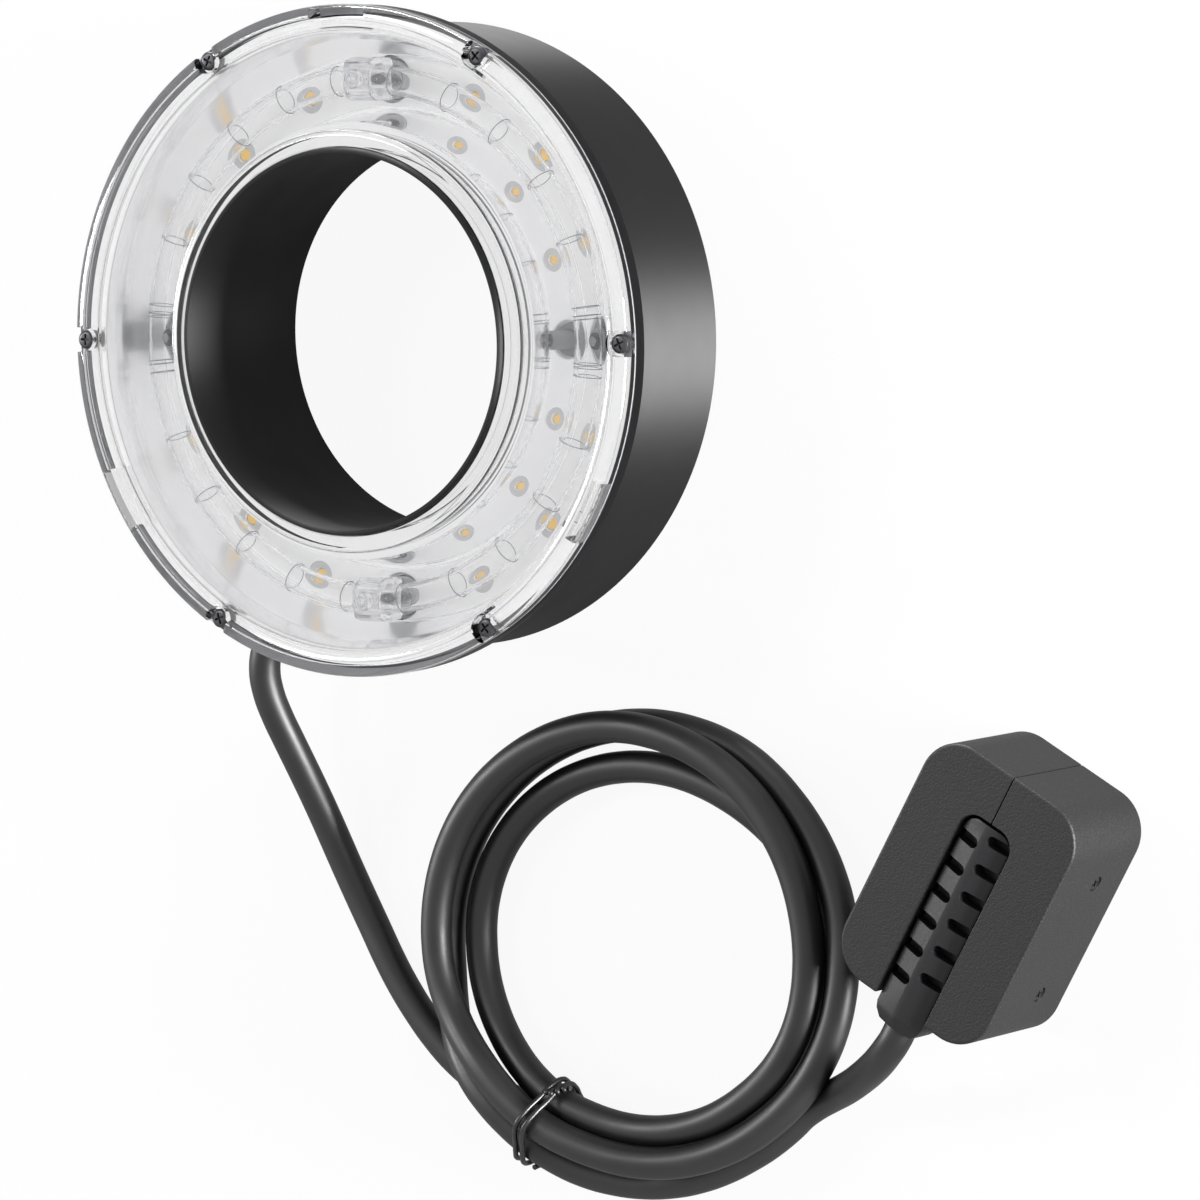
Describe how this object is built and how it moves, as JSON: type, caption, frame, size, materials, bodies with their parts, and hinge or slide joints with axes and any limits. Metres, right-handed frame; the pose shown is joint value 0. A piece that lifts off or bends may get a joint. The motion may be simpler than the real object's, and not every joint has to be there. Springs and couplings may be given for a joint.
{
  "type": "ring flash head",
  "caption": "Ring flash head with a circular flash tube behind a clear cover, a wide lens opening, and a tied lead that ends in a slide-on plug.",
  "frame": {"origin": "centre of the head's back face, on the lens axis; the head, the coiled lead and the plug lie on z = 0", "axes": "+Z along the lens axis, from the back face to the clear front cover; +X through a cover screw, with the coil and the plug to the right of the head; +Y away from the coil"},
  "size_m": [0.3193, 0.341, 0.0571],
  "materials": {
    "anodised_body": "satin charcoal anodised aluminium with a fine grain",
    "black_collar": "gloss black moulding",
    "black_satin": "satin dark grey moulding",
    "clear_cover": "clear polished polycarbonate",
    "tube_glass": "clear glass",
    "reflector_silver": "bright satin aluminium bowl with white floor",
    "screw_black": "black oxide steel screws",
    "screw_steel": "plain steel",
    "silicone_grey": "matt grey silicone sleeve",
    "nickel_wire": "thin bright nickel wire",
    "clear_plastic": "milky clear polycarbonate",
    "white_plastic": "pale grey moulding",
    "board_white": "white solder mask",
    "board_green": "green solder mask",
    "phosphor": "yellow phosphor gel",
    "component_blue": "dark potting compound",
    "component_brown": "dipped film capacitor",
    "rubber_black": "satin black rubber jacket",
    "plug_black": "fine textured black ABS",
    "boot_black": "satin black flexible moulding",
    "contact_gold": "gold-plated brass"
  },
  "bodies": {
    "root": {"outer_housing": "anodised_body", "front_ring": "black_collar", "rear_cover": "black_satin", "rear_screws": "screw_black", "inner_sleeve": "black_satin", "front_cover": "clear_cover", "cover_screws": "screw_black", "reflector": "reflector_silver", "flash_tube": "tube_glass", "electrodes": "screw_steel", "electrode_sleeves": "silicone_grey", "trigger_wire": "nickel_wire", "tube_clips": "clear_plastic", "clip_screws": "clear_plastic", "floor_bushes": "white_plastic", "lamp_board": "board_white", "lamps": "phosphor", "chassis": "black_satin", "trigger_board": "board_green", "trigger_transformer": "component_blue", "trigger_capacitor": "component_brown", "cord_gland": "boot_black", "cord_clamp": "black_satin", "clamp_screws": "screw_steel", "cord_core": "rubber_black", "cord_lead": "rubber_black", "cord_coil": "rubber_black", "cord_tie": "boot_black", "cord_tail": "rubber_black", "plug_boot": "boot_black", "plug_shell_left": "plug_black", "plug_shell_right": "plug_black", "plug_screws": "screw_black", "plug_base": "plug_black", "contact_block": "black_satin", "contact_pins": "contact_gold", "plug_board": "board_green"}
  },
  "joints": []
}
